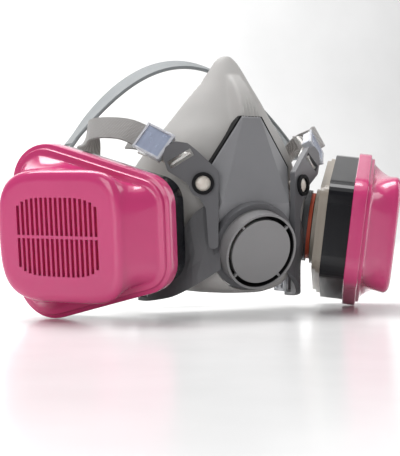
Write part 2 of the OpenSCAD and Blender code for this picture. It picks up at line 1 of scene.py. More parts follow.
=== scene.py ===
import bpy
import bmesh
import json
import math
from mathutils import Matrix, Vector


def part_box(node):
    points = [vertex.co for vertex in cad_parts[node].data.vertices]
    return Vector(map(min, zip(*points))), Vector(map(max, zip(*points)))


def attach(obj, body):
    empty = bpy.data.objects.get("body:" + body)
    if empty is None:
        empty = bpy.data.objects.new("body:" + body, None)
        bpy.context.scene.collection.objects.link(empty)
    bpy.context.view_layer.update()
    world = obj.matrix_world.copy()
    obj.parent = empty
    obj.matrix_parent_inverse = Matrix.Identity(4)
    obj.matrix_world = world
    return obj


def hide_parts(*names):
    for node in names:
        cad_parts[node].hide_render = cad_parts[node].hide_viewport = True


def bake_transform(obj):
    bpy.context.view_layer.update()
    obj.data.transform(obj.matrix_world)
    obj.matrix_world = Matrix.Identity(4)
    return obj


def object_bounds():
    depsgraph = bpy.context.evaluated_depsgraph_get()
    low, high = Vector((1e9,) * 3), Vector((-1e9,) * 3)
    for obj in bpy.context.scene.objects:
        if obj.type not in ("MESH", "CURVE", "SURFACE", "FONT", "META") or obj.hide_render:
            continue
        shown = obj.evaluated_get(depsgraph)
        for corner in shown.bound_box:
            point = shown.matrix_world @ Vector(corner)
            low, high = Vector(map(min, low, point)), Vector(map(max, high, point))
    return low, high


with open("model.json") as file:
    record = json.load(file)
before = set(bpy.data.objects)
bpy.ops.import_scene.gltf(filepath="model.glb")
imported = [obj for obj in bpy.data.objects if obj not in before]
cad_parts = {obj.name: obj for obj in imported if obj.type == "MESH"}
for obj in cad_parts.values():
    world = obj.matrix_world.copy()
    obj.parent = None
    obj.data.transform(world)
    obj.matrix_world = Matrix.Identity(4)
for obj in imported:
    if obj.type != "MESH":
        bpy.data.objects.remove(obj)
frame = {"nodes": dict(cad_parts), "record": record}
cad_lo, cad_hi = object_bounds()
MM = 0.001
SIDES = {"left": 1, "right": -1}
JOINTS = {j["name"]: j for j in frame["record"]["behaviour"]["joints"]}
ROOT = "mask"

# ---- places, from the record and the CAD nodes ----
port_at = Vector(JOINTS["cartridge_twist_left"]["pos_m"])
port_n = Vector(JOINTS["cartridge_twist_left"]["axis"])
valve_n = Vector(JOINTS["exhalation_lift"]["axis"])
flat_x = Vector((-port_n.y, port_n.x, 0)).normalized()
flat_y = port_n.cross(flat_x)
roll = math.radians(1)
port_x = flat_x * math.cos(roll) + flat_y * math.sin(roll)
port_y = port_n.cross(port_x)
pin_lo, pin_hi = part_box("pin_grommet_left")
arm_a = math.radians(28.5)
arm_x = Vector((math.cos(arm_a), math.sin(arm_a), 0))
arm_n = Vector((math.sin(arm_a), -math.cos(arm_a), 0))
pin_at = (pin_lo + pin_hi) / 2 - arm_n * 0.8 * MM
PORT_BACK = 34.8                # how far a port lies behind the front plane of the valve
front_y = port_at.y / MM - PORT_BACK


def flip(p, side):
    return Vector((p.x * side, p.y, p.z))


def P(side, x, y, z):
    """A point in millimetres along a port: x rearwards, y up, z outwards."""
    return flip(port_at + (port_x * x + port_y * y + port_n * z) * MM, side)


def A(side, x, y, z):
    """A point in millimetres on an arm of the yoke, from its pin."""
    return flip(pin_at + (arm_x * x + Vector((0, 0, 1)) * y + arm_n * z) * MM, side)


def lerp(a, b, t):
    return a + (b - a) * t


def curve(p, t):
    """Smooth curve through the items of a list, as in the CAD."""
    i = min(int(t), len(p) - 2)
    f = t - i
    a, b, c, d = p[max(i - 1, 0)], p[i], p[i + 1], p[min(i + 2, len(p) - 1)]
    return b + 0.5 * f * (c - a + f * (2 * a - 5 * b + 4 * c - d + f * (3 * (b - c) + d - a)))


# ---- mesh helpers ----
def mesh_object(name, verts, faces, sharp=40):
    me = bpy.data.meshes.new(name)
    me.from_pydata([tuple(v) for v in verts], [], faces)
    ob = bpy.data.objects.new(name, me)
    bpy.context.scene.collection.objects.link(ob)
    finish_mesh(ob, sharp)
    return ob


def temp(verts, faces):
    """An object that only serves in a boolean."""
    return mesh_object("cutter", verts, faces)


def piece(name, verts, faces, material, body, slot, sharp=40, bevel=0, replaces=()):
    ob = mesh_object(name, verts, faces, sharp)
    if bevel:
        add_bevel(ob, bevel)
    dress(ob, material, body, slot, replaces)
    return ob


def finish_mesh(ob, sharp):
    bm = bmesh.new()
    bm.from_mesh(ob.data)
    bmesh.ops.remove_doubles(bm, verts=bm.verts, dist=1e-6)
    bmesh.ops.recalc_face_normals(bm, faces=bm.faces)
    bm.to_mesh(ob.data)
    bm.free()
    shade(ob.data, sharp)


def shade(me, sharp):
    for f in me.polygons:
        f.use_smooth = True
    me.set_sharp_from_angle(angle=math.radians(sharp))


def dress(ob, material, body, slot, replaces=()):
    ob.data.materials.clear()
    ob.data.materials.append(material)
    if body:
        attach(ob, body)
    if replaces:
        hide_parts(*replaces)


def add_bevel(ob, width, angle=30, segments=2):
    m = ob.modifiers.new("edge", "BEVEL")
    m.width = width * MM
    m.segments = segments
    m.limit_method = "ANGLE"
    m.angle_limit = math.radians(angle)
    m.harden_normals = True


def loft(rings):
    """Vertices and faces of a closed surface through rings of equal length, capped at both ends."""
    n, last = len(rings[0]), len(rings) - 1
    verts = [v for r in rings for v in r]
    faces = []
    for i in range(last):
        for j in range(n):
            k = (j + 1) % n
            faces.append([i * n + j, i * n + k, (i + 1) * n + k, (i + 1) * n + j])
    faces.append(list(range(n))[::-1])
    faces.append([last * n + j for j in range(n)])
    return verts, faces


def joined(parts):
    """Several (vertices, faces) as one."""
    verts, faces = [], []
    for v, f in parts:
        base = len(verts)
        verts += list(v)
        faces += [[i + base for i in q] for q in f]
    return verts, faces


def boolean(ob, other, operation="DIFFERENCE"):
    m = ob.modifiers.new("cut", "BOOLEAN")
    m.operation = operation
    m.solver = "EXACT"
    m.object = other


def apply(ob, *cutters):
    """Turns ob's modifiers into its mesh and removes the cutters."""
    bpy.context.view_layer.update()
    dg = bpy.context.evaluated_depsgraph_get()
    me = bpy.data.meshes.new_from_object(ob.evaluated_get(dg))
    ob.modifiers.clear()
    ob.data = me
    for c in cutters:
        bpy.data.objects.remove(c)


def rod(a, b, r, n=32):
    """Closed cylinder between two points, radius in metres."""
    axis = (b - a).normalized()
    u = axis.orthogonal().normalized()
    w = axis.cross(u)
    angles = [2 * math.pi * i / n for i in range(n)]
    return loft([[p + (u * math.cos(t) + w * math.sin(t)) * r for t in angles] for p in (a, b)])


def turned(profile, at, axis, n=64):
    """Surface of revolution: profile is a closed list of (radius, height) in millimetres."""
    u = axis.orthogonal().normalized()
    w = axis.cross(u)
    verts, faces = [], []
    m = len(profile)
    for i in range(n):
        t = 2 * math.pi * i / n
        d = u * math.cos(t) + w * math.sin(t)
        verts += [at + d * (r * MM) + axis * (h * MM) for r, h in profile]
    for i in range(n):
        for j in range(m):
            k = (j + 1) % m
            a, b = i * m, ((i + 1) % n) * m
            faces.append([a + j, a + k, b + k, b + j])
    return verts, faces


def block(place, lo, hi):
    """Box between two corners, with place() turning local millimetres into the row frame."""
    c = [place(x, y, z) for z in (lo[2], hi[2]) for y in (lo[1], hi[1]) for x in (lo[0], hi[0])]
    return c, [[0, 1, 3, 2], [4, 6, 7, 5], [0, 4, 5, 1], [2, 3, 7, 6], [0, 2, 6, 4], [1, 5, 7, 3]]


def ribbon(route, edges, width, thickness, steps=10, cols=8, profile=None):
    """Flat strap along a route in metres, with rounded edges; edges says which way is across it."""
    rings = []
    count = (len(route) - 1) * steps
    xs = [-1 + 2 * j / cols for j in range(cols + 1)]
    h = thickness / 2
    for i in range(count + 1):
        t = i / steps
        p = curve(route, t)
        ahead = (curve(route, min(t + 0.1, len(route) - 1)) - curve(route, max(t - 0.1, 0))).normalized()
        e = curve(edges, t)
        across = (e - e.dot(ahead) * ahead).normalized()
        face = ahead.cross(across)
        w = (profile(t / (len(route) - 1)) if profile else 1) * width / 2
        upper = [p + across * (x * (w - h * 0.6)) + face * h for x in xs]
        lower = [p + across * (x * (w - h * 0.6)) - face * h for x in reversed(xs)]
        rings.append(upper + [p + across * w] + lower + [p - across * w])
    return loft(rings)


# ---- materials ----
class Nodes:
    """A material with its principled shader and short calls for the nodes it needs."""

    def __init__(self, name, **sockets):
        self.m = bpy.data.materials.new(name)
        self.m.use_nodes = True
        self.t = self.m.node_tree
        self.bsdf = self.t.nodes["Principled BSDF"]
        for k, v in sockets.items():
            self.bsdf.inputs[k.replace("_", " ")].default_value = v
        self.coords = self.t.nodes.new("ShaderNodeTexCoord").outputs["Object"]

    def node(self, kind, **settings):
        n = self.t.nodes.new(kind)
        for k, v in settings.items():
            setattr(n, k, v)
        return n

    def link(self, a, b):
        self.t.links.new(a, b)

    def scaled(self, xyz):
        n = self.node("ShaderNodeMapping")
        n.inputs["Scale"].default_value = xyz
        self.link(self.coords, n.inputs["Vector"])
        return n.outputs["Vector"]

    def noise(self, scale, detail=3, vector=None, rough=0.5):
        n = self.node("ShaderNodeTexNoise")
        n.inputs["Scale"].default_value = scale
        n.inputs["Detail"].default_value = detail
        n.inputs["Roughness"].default_value = rough
        self.link(vector or self.coords, n.inputs["Vector"])
        return n.outputs["Fac"]

    def ramp(self, fac, stops):
        n = self.node("ShaderNodeValToRGB")
        r = n.color_ramp
        while len(r.elements) < len(stops):
            r.elements.new(0.5)
        for e, (at, c) in zip(r.elements, stops):
            e.position = at
            e.color = c if len(c) == 4 else (*c, 1)
        self.link(fac, n.inputs["Fac"])
        return n.outputs["Color"]

    def span(self, fac, lo, hi):
        n = self.node("ShaderNodeMapRange")
        n.inputs["To Min"].default_value = lo
        n.inputs["To Max"].default_value = hi
        self.link(fac, n.inputs["Value"])
        return n.outputs["Result"]

    def mix(self, fac, a, b):
        n = self.node("ShaderNodeMix", data_type="RGBA")
        for value, at in ((fac, 0), (a, 6), (b, 7)):
            if isinstance(value, (int, float)):
                n.inputs[at].default_value = value
            elif isinstance(value, tuple):
                n.inputs[at].default_value = (*value, 1)
            else:
                self.link(value, n.inputs[at])
        return n.outputs[2]

    def add(self, a, b, op="ADD"):
        n = self.node("ShaderNodeMath", operation=op)
        for i, v in enumerate((a, b)):
            if isinstance(v, (int, float)):
                n.inputs[i].default_value = v
            else:
                self.link(v, n.inputs[i])
        return n.outputs[0]

    def bump(self, height, distance, strength=1.0):
        n = self.node("ShaderNodeBump")
        n.inputs["Distance"].default_value = distance
        n.inputs["Strength"].default_value = strength
        self.link(height, n.inputs["Height"])
        self.link(n.outputs["Normal"], self.bsdf.inputs["Normal"])

    def painted_edge_highlight(self, low=0.52, high=0.6):
        """Painted highlight: bright on outer edges, from the shape of the mesh."""
        g = self.node("ShaderNodeNewGeometry")
        return self.span_clamped(g.outputs["Pointiness"], low, high)

    def span_clamped(self, fac, low, high):
        n = self.node("ShaderNodeMapRange")
        n.inputs["From Min"].default_value = low
        n.inputs["From Max"].default_value = high
        self.link(fac, n.inputs["Value"])
        return n.outputs["Result"]


def srgb(r, g, b):
    def f(c):
        c /= 255
        return c / 12.92 if c <= 0.04045 else ((c + 0.055) / 1.055) ** 2.4
    return f(r), f(g), f(b)


def shifted(c, k):
    return tuple(min(1, x * k) for x in c)


def moulded(name, color, rough, coat=0.0, grain=2600, depth=0.00003, mottled=0.05, specular=0.5,
            subsurface=0.0, highlight_amount=0.0):
    """Moulded plastic or rubber: fine grain, slow colour drift, uneven gloss and edges made paler by a
    painted highlight.
    """
    m = Nodes(name, Coat_Weight=coat, Coat_Roughness=0.06, Specular_IOR_Level=specular)
    if subsurface:
        m.bsdf.inputs["Subsurface Weight"].default_value = subsurface
        m.bsdf.inputs["Subsurface Radius"].default_value = (0.003, 0.002, 0.002)
        m.bsdf.inputs["Subsurface Scale"].default_value = 1.0
    slow = m.noise(38, 4)
    tone = m.ramp(slow, [(0.3, shifted(color, 1 - mottled)), (0.7, shifted(color, 1 + mottled))])
    if highlight_amount:
        # painted highlight: the edges turn paler, from the shape of the mesh
        tone = m.mix(m.add(m.painted_edge_highlight(), highlight_amount, "MULTIPLY"), tone, shifted(color, 1.9))
    m.link(tone, m.bsdf.inputs["Base Color"])
    m.link(m.span(m.noise(160, 5), rough * 0.85, rough * 1.2), m.bsdf.inputs["Roughness"])
    m.bump(m.noise(grain, 2), depth, 0.6)
    return m.m


def woven(name, color, dark, pitch=0.0006):
    """Flat elastic webbing: warp and weft, ribs along the strap, fine fuzz."""
    m = Nodes(name, Sheen_Weight=0.25, Sheen_Roughness=0.5, Specular_IOR_Level=0.2)
    rows = []
    for turn in ((1, 1, 1), (1, -1, 1)):
        w = m.node("ShaderNodeTexWave", wave_type="BANDS", bands_direction="DIAGONAL")
        w.inputs["Scale"].default_value = 0.32 / pitch
        w.inputs["Distortion"].default_value = 0.6
        w.inputs["Detail"].default_value = 1.5
        m.link(m.scaled(turn), w.inputs["Vector"])
        rows.append(w.outputs["Fac"])
    cloth = m.add(m.add(*rows, "MULTIPLY"), m.noise(2200, 3), "ADD")
    slow = m.noise(55, 3)
    base = m.ramp(m.add(cloth, 0.6, "MULTIPLY"), [(0.2, dark), (0.75, color)])
    m.link(m.mix(m.span(slow, 0.0, 0.25), base, shifted(color, 0.8)), m.bsdf.inputs["Base Color"])
    m.link(m.span(cloth, 0.95, 0.7), m.bsdf.inputs["Roughness"])
    m.bump(cloth, 0.0002, 0.8)
    return m.m


def clear_plastic(name, tint, rough=0.08, through=0.45):
    """Clear moulded plastic with faint flow lines."""
    m = Nodes(name, Transmission_Weight=through, IOR=1.35, Coat_Weight=0.3, Coat_Roughness=0.05)
    flow = m.noise(90, 3, m.scaled((1, 4, 1)))
    tone = m.ramp(flow, [(0.25, shifted(tint, 0.85)), (0.75, shifted(tint, 1.1))])
    m.link(tone, m.bsdf.inputs["Base Color"])
    m.link(m.span(m.noise(300, 4), rough, rough * 3), m.bsdf.inputs["Roughness"])
    m.bump(flow, 0.00005, 0.3)
    return m.m


def grains(name):
    """Bed of black carbon grains."""
    m = Nodes(name, Specular_IOR_Level=0.4)
    v = m.node("ShaderNodeTexVoronoi")
    v.inputs["Scale"].default_value = 900
    m.link(m.coords, v.inputs["Vector"])
    # paler in the middle of each grain and darker towards its edges: painted shade in the gaps between grains
    m.link(m.ramp(v.outputs["Distance"], [(0.0, (0.05, 0.05, 0.055)), (0.6, (0.008, 0.008, 0.01))]),
           m.bsdf.inputs["Base Color"])
    m.link(m.span(m.noise(500), 0.5, 0.9), m.bsdf.inputs["Roughness"])
    m.bump(v.outputs["Distance"], 0.0006, 1.0)
    return m.m


def fibres(name, color):
    """Matted filter cloth."""
    m = Nodes(name, Sheen_Weight=0.3, Sheen_Roughness=0.6)
    f = m.noise(700, 6, m.scaled((1, 3, 1)), 0.7)
    m.link(m.ramp(f, [(0.3, shifted(color, 0.6)), (0.7, color)]), m.bsdf.inputs["Base Color"])
    m.link(m.span(f, 0.75, 1.0), m.bsdf.inputs["Roughness"])
    m.bump(f, 0.0005, 0.9)
    return m.m


PINK = srgb(196, 52, 112)
MAT = {
    "facepiece": moulded("rubber_grey", srgb(168, 166, 164), 0.52, grain=1900, depth=0.00005, specular=0.35,
                         subsurface=0.06),
    # the last argument of some of these sets how strongly a highlight is painted on their edges
    "shield": moulded("shield_grey", srgb(128, 128, 131), 0.42, depth=0.00004, highlight_amount=0.12),
    "valve_grey": moulded("valve_grey", srgb(122, 121, 122), 0.36, depth=0.00003, highlight_amount=0.15),
    "yoke": moulded("yoke_grey", srgb(88, 88, 91), 0.4, depth=0.00005, highlight_amount=0.12),
    "pin": moulded("pin_cream", srgb(214, 206, 196), 0.25, coat=0.3, subsurface=0.1),
    # black of the pin grommets, also used for the pieces that paint shade round the shield and inside the
    # valve
    "grommet": moulded("grommet_and_painted_shade_black", (0.004, 0.004, 0.005), 0.6, specular=0.2),
    "port": moulded("port_grey", srgb(70, 70, 72), 0.4),
    "gasket": moulded("gasket_orange", srgb(200, 78, 44), 0.5),
    "flap": moulded("flap_silicone", srgb(225, 222, 212), 0.45, subsurface=0.2),
    "base": moulded("base_taupe", srgb(150, 140, 128), 0.3, coat=0.25, highlight_amount=0.1),
    "canister": moulded("label_black", (0.004, 0.004, 0.006), 0.12, coat=0.15, specular=0.25),
    "carbon": grains("carbon_grains"),
    "grid": moulded("grid_white", srgb(222, 222, 220), 0.4),
    "media": fibres("filter_media", srgb(238, 30, 96)),
    "cover": moulded("cover_magenta", PINK, 0.2, coat=0.6, grain=1500, depth=0.00001, mottled=0.03,
                     subsurface=0.05),
    "buckle": clear_plastic("buckle_clear", srgb(232, 234, 240)),
    "buckle_pane": clear_plastic("buckle_pane", srgb(166, 176, 198), 0.12, 0.25),
    "buckle_milk": moulded("buckle_milk", srgb(205, 203, 198), 0.25, coat=0.3, subsurface=0.15),
    "webbing": woven("webbing_grey", srgb(178, 176, 174), srgb(120, 118, 116)),
    "band": moulded("band_grey", srgb(128, 132, 134), 0.5, grain=1400, depth=0.00008),
    "clasp": moulded("clasp_grey", srgb(62, 62, 65), 0.42, highlight_amount=0.15),
}

# ---- CAD nodes: new materials, softened edges in millimetres ----
slots = {s["node"]: s["material_slot"] for s in frame["record"]["subparts"]}
EDGE = {"front_shield": 0.5, "valve_seat": 0.2, "valve_cover": 0.25, "yoke": 0.3, "port_left": 0.2,
        "port_right": 0.2, "cartridge_base_left": 0.6, "cartridge_base_right": 0.6, "canister_left": 0.3,
        "canister_right": 0.3, "neck_hook": 0.4, "neck_loop": 0.4}
for name, ob in frame["nodes"].items():
    for i in range(max(1, len(ob.material_slots))):
        if not ob.material_slots:
            ob.data.materials.append(MAT[slots[name]])
        ob.material_slots[i].material = MAT[slots[name]]
    if name in EDGE:
        add_bevel(ob, EDGE[name])

# ---- camera, floor, lights ----
cam_data = bpy.data.cameras.new("camera")
cam = bpy.data.objects.new("camera", cam_data)
bpy.context.scene.collection.objects.link(cam)
bpy.context.scene.camera = cam
cam_data.sensor_width = 36
cam_data.lens = 87.71
cam.location = (-0.3033, front_y * MM - 0.5014, 0.0523)
pitch, yaw = math.radians(0.464), math.radians(28)
look = Vector((math.sin(yaw) * math.cos(pitch), math.cos(yaw) * math.cos(pitch), -math.sin(pitch)))
cam.rotation_euler = look.to_track_quat("-Z", "Y").to_euler()
cam_data.clip_start = 0.01


def floor_material():
    m = Nodes("floor_pale", Specular_IOR_Level=0.5)
    tone = m.ramp(m.noise(6, 3), [(0.3, (0.86, 0.86, 0.86)), (0.7, (0.9, 0.9, 0.9))])
    m.link(tone, m.bsdf.inputs["Base Color"])
    m.link(m.span(m.noise(30), 0.18, 0.24), m.bsdf.inputs["Roughness"])
    return m.m


# floor that runs up into a wall behind the object
sweep = [(-3.0, 0.0)] + [(1.5 + 0.5 * math.sin(t), 0.5 - 0.5 * math.cos(t)) for t in
                         (math.pi / 2 * i / 16 for i in range(17))] + [(2.0, 3.2)]
fme = bpy.data.meshes.new("floor")
fme.from_pydata([(x, y, z) for y, z in sweep for x in (-4, 4)], [],
                [[2 * i, 2 * i + 1, 2 * i + 3, 2 * i + 2] for i in range(len(sweep) - 1)])
for f in fme.polygons:
    f.use_smooth = True
floor = bpy.data.objects.new("floor", fme)
floor.location.z = cad_lo.z - 0.0002
fme.materials.append(floor_material())
bpy.context.scene.collection.objects.link(floor)


def lamp(name, at, size, power, target=(0, 0, 0.06), size_y=None):
    d = bpy.data.lights.new(name, "AREA")
    d.shape = "RECTANGLE"
    d.size = size
    d.size_y = size_y or size
    d.energy = power
    o = bpy.data.objects.new(name, d)
    o.location = at
    o.rotation_euler = (Vector(target) - Vector(at)).to_track_quat("-Z", "Y").to_euler()
    bpy.context.scene.collection.objects.link(o)


lamp("top", (0.0, 0.0, 0.9), 0.9, 2.6)
lamp("key_left", (-1.0, -0.8, 0.5), 0.7, 5.6, size_y=0.9)
lamp("key_right", (1.0, -0.1, 0.4), 0.5, 2.6, size_y=0.9)
lamp("wall_wash", (-0.2, 0.7, 1.8), 1.6, 60, target=(0.4, 1.9, 0.4))
world = bpy.data.worlds.new("studio")
world.use_nodes = True
world.node_tree.nodes["Background"].inputs["Color"].default_value = (1, 1, 1, 1)
world.node_tree.nodes["Background"].inputs["Strength"].default_value = 0.3
bpy.context.scene.world = world
bpy.context.scene.view_settings.view_transform = "Standard"

# ---- cartridges ----
RIM = dict(l=92, rear_h=92, front_h=61, shift=11.8, rear_r=21, front_r=16)
PLATEAU = dict(l=68, h=62, shift=20)
TURN = 120                      # points round each outline
MID = Vector((15, 0))           # the outlines are measured from here


def corner(at, r, a0, a1, n=14):
    """Points of an arc from angle a0 to a1."""
    angles = [a0 + (a1 - a0) * i / n for i in range(n + 1)]
    return [Vector((at[0] + r * math.cos(t), at[1] + r * math.sin(t))) for t in angles]


def rim_points(inset):
    """The rim's outline: a trapezoid with round corners, taller at the rear."""
    fr, rr = max(RIM["front_r"] - inset, 1), max(RIM["rear_r"] - inset, 1)
    f = Vector((RIM["shift"] - RIM["l"] / 2 + inset + fr, RIM["front_h"] / 2 - inset - fr))
    r = Vector((RIM["shift"] + RIM["l"] / 2 - inset - rr, RIM["rear_h"] / 2 - inset - rr))
    reach = f - r
    side = math.pi + math.atan2(-reach.y, -reach.x) - math.acos((rr - fr) / reach.length)
    upper = corner(r, rr, 0, side) + corner(f, fr, side, math.pi)
    return upper + [Vector((p.x, -p.y)) for p in reversed(upper)]


def plateau_points(inset):
    """The outline of the raised front face: a rounded oblong, blunter at the rear."""
    a, b = PLATEAU["l"] / 2 - inset, PLATEAU["h"] / 2 - inset
    out = []
    for i in range(240):
        t = 2 * math.pi * i / 240
        c, s = math.cos(t), math.sin(t)
        p, q = (0.5, 0.62) if c > 0 else (0.36, 0.5)
        out.append(Vector((PLATEAU["shift"] + a * math.copysign(abs(c) ** p, c),
                           b * math.copysign(abs(s) ** q, s))))
    return out


def even(points):
    """The outline's distance from MID in TURN even directions."""
    out = []
    for i in range(TURN):
        t = 2 * math.pi * i / TURN
        d = Vector((math.cos(t), math.sin(t)))
        best = 0
        for a, b in zip(points, points[1:] + points[:1]):
            a, b = a - MID, b - MID
            e = b - a
            den = d.x * e.y - d.y * e.x
            if abs(den) < 1e-9:
                continue
            u = (a.x * e.y - a.y * e.x) / den
            w = (a.x * d.y - a.y * d.x) / den
            if u > 0 and -1e-6 <= w <= 1 + 1e-6:
                best = max(best, u)
        out.append(MID + d * best)
    return out


def rim_ring(inset, z):
    return [(p.x, p.y, z) for p in even(rim_points(inset))]


def plateau_ring(inset, z):
    return [(p.x, p.y, z) for p in even(plateau_points(inset))]


def mixed(a, b, t, z):
    """Between two outlines; the side that looks forwards runs straighter than the others."""
    out = []
    for i, (p, q) in enumerate(zip(a, b)):
        rear = 0.5 + 0.5 * math.cos(2 * math.pi * i / TURN)
        k = 1 - (1 - t) ** (1.15 + 0.7 * min(1, 1.6 * rear))
        out.append((lerp(p[0], q[0], k), lerp(p[1], q[1], k), z))
    return out


def dome(foot, top, low, high, steps=12):
    """The flared side of the cover between the rim and the plateau."""
    return [mixed(foot, top, i / steps, lerp(low, high, i / steps)) for i in range(steps + 1)]


def cover_rings():
    """Rings of the cover, up its inside and down its outside, as (inset, height) in millimetres."""
    inner_foot, inner_top = rim_ring(7.6, 0), plateau_ring(-0.6, 0)
    rings = [plateau_ring(1.6, 45.3), plateau_ring(0.3, 44.9)]
    rings += dome(inner_foot, inner_top, 29.2, 43.6, 6)[::-1]
    rings += [rim_ring(6.2, 28.6), rim_ring(3.5, 28.2), rim_ring(3.4, 21.2), rim_ring(0.3, 21.02)]
    rings += [rim_ring(i, z) for i, z in (
        (0, 21.3), (0, 24.5), (0, 27.8), (0.2, 28.35), (0.7, 28.6), (1.9, 28.7), (2.2, 28.9), (2.35, 29.3),
        (2.4, 30.1), (2.7, 30.5), (3.3, 30.65), (4.4, 30.7), (5.1, 30.85))]
    rings += dome(rim_ring(5.9, 0), plateau_ring(-2.6, 0), 31.3, 44.0)
    rings += [plateau_ring(i, z) for i, z in (
        (-2.3, 44.8), (-1.7, 45.6), (-0.8, 46.3), (0.4, 46.75), (1.8, 46.97), (3.2, 47.0))]
    return rings


GRILLE_L, GRILLE_COLUMNS = 48.5, 17
GRILLE_H, GRILLE_REACH = 20, 26.5     # half height, and where the barrel shape would close
GRILLE_RIB = 0.8                      # half of the rib across the middle


def barrel(x):
    """Half height of the grille at a distance from its middle."""
    return GRILLE_H * (1 - (abs(x) / GRILLE_REACH) ** 4) ** 0.3


def grille(side):
    """Cutters for the slots, two to a column, above and below the rib across the middle."""
    def place(x, y, z):
        return P(side, x, y, z)

    parts = []
    pitch = GRILLE_L / GRILLE_COLUMNS
    for i in range(GRILLE_COLUMNS):
        x = (i + 0.5) * pitch - GRILLE_L / 2
        at = PLATEAU["shift"] + x
        for up in (1, -1):
            low, high = sorted((up * GRILLE_RIB, up * barrel(x)))
            parts.append(block(place, (at - pitch * 0.3, low, 40), (at + pitch * 0.3, high, 50)))
    return joined(parts)


COVER = cover_rings()
for s, side in SIDES.items():
    rings = [[P(side, *p) for p in r] for r in COVER]
    ob = piece(f"cover_shell_{s}", *loft(rings), MAT["cover"], f"cartridge_{s}", "cover")
    cutter = temp(*grille(side))
    boolean(ob, cutter)
    apply(ob, cutter)
    add_bevel(ob, 0.22, 50, 1)
    shade(ob.data, 35)
    dress(ob, MAT["cover"], None, "cover", [f"cartridge_cover_{s}"])

    # red cloth close under the grille
    outline = [Vector((PLATEAU["shift"] + x, k * (barrel(x) + 1.5))) for k in (1, -1)
               for x in (k * (25.5 - 51 * i / 16) for i in range(17))]
    cloth = [[P(side, p.x, p.y, z) for p in outline] for z in (43.5, 44.1)]
    piece(f"grille_cloth_{s}", *loft(cloth), MAT["media"], f"cartridge_{s}", "media")

# ---- facepiece ----
# rows up the face in millimetres: height, half width, front, rear, roundness of the section
ROWS = [(12.4, 20, 17, 50, 2.5), (16, 33, 10.5, 58, 2.5), (24, 43, 8, 65, 2.5), (38, 50, 8.5, 69, 2.5),
        (55, 52.5, 10, 69, 2.5), (72, 50, 11.5, 64, 2.4), (86, 44, 12.5, 57, 2.3), (98, 36, 13.5, 52, 2.2),
        (108, 29, 17, 48, 2), (118, 22, 22, 44.5, 2), (127, 15, 26.5, 41.5, 2), (134, 10.6, 30.5, 40.5, 2),
        (139.5, 6.8, 34, 40.2, 2), (142.8, 2.6, 36.4, 39.6, 2)]


def row(t):
    return [curve([r[i] for r in ROWS], t) for i in range(5)]


def skin(t, a, inset=0.0, rear_in=0.0):
    """Point of the facepiece's skin in metres: t is the row, a the angle in degrees round the front."""
    z, half, front, rear, power = row(t)
    w, f, b = half - inset, front_y + front + inset, front_y + rear - rear_in
    c, s = math.cos(math.radians(a)), max(math.sin(math.radians(a)), 0)
    return Vector((w * math.copysign(abs(c) ** (2 / power), c), b - (b - f) * s ** (2 / power), z)) * MM


def skin_solid(inset, rear_in, low, high, steps, sides=64):
    """The closed solid inside the skin, from row low to row high."""
    return loft([[skin(lerp(low, high, i / steps), 180 - 180 * j / sides, inset, rear_in)
                  for j in range(sides + 1)] for i in range(steps + 1)])


def boss(side):
    """The rubber round a port: rings as radius, shift rearwards, height along the port."""
    angles = [2 * math.pi * i / 64 for i in range(64)]
    return loft([[P(side, r * math.cos(t) + dx, r * math.sin(t), z) for t in angles] for r, dx, z in (
        (24.6, 2, -16), (24.4, 1.8, -13), (23.6, 0.8, -9.5), (22.9, 0, -7.4), (22.3, 0, -6.4),
        (21.6, 0, -6))])


VALVE_BORE, VALVE_RING_R = 0.0212, 0.0243
PORT_BORE, PORT_FLANGE_R = 0.0151, 0.0285
valve_at = Vector((0, front_y * MM, 0.035))


def valve_rod(behind, r):
    """Cutter along the valve's axis; behind says in metres how far it reaches back from the front plane."""
    return temp(*rod(valve_at - valve_n * behind, valve_at + valve_n * 0.02, r))


face = temp(*skin_solid(0, 0, 0, len(ROWS) - 1, 78))
tools = [temp(*boss(side)) for side in SIDES.values()]
cuts = [temp(*skin_solid(2.6, 3, 1.1, 11.3, 60)), temp(*skin_solid(7, -6, 1.5, 10.7, 50)),
        valve_rod(0.025, VALVE_BORE), valve_rod(0.0173, VALVE_RING_R)]
for side in SIDES.values():
    cuts += [temp(*rod(P(side, 0, 0, low), P(side, 0, 0, 20), r)) for low, r in (
        (-40, PORT_BORE), (-6, PORT_FLANGE_R))]
for tool in tools:
    boolean(face, tool, "UNION")
for cut in cuts:
    boolean(face, cut)

# the raised bridge of the nose, a row of points across it at each height
BRIDGE_LOW, BRIDGE_HIGH, BRIDGE_STEPS = 104, 131, 8
BRIDGE = []
for i in range(BRIDGE_STEPS + 1):
    z = lerp(BRIDGE_LOW, BRIDGE_HIGH, i / BRIDGE_STEPS)
    t = next(q / 50 for q in range(600) if row(q / 50)[0] >= z)
    ridge = skin(t, 90).y
    y = lerp((front_y + 10.6) * MM, ridge - 0.0006, (i / BRIDGE_STEPS) ** 1.3)
    w = lerp(6.2, 3.6, i / BRIDGE_STEPS) * MM
    BRIDGE.append([Vector((x, yy, z * MM)) for x, yy in (
        (-w * 1.9, ridge + 0.007), (-w, y + 0.0006), (-w * 0.9, y),
        (w * 0.9, y), (w, y + 0.0006), (w * 1.9, ridge + 0.007))])
tools.append(temp(*loft(BRIDGE)))
boolean(face, tools[-1], "UNION")
apply(face, *tools, *cuts)
m = face.modifiers.new("even", "REMESH")
m.mode = "VOXEL"
m.voxel_size = 1.0 * MM
m = face.modifiers.new("soft", "SMOOTH")
m.factor = 0.5
m.iterations = 4
apply(face)
face.name = "facepiece_rubber"
shade(face.data, 180)
dress(face, MAT["facepiece"], ROOT, "facepiece", ["facepiece"])

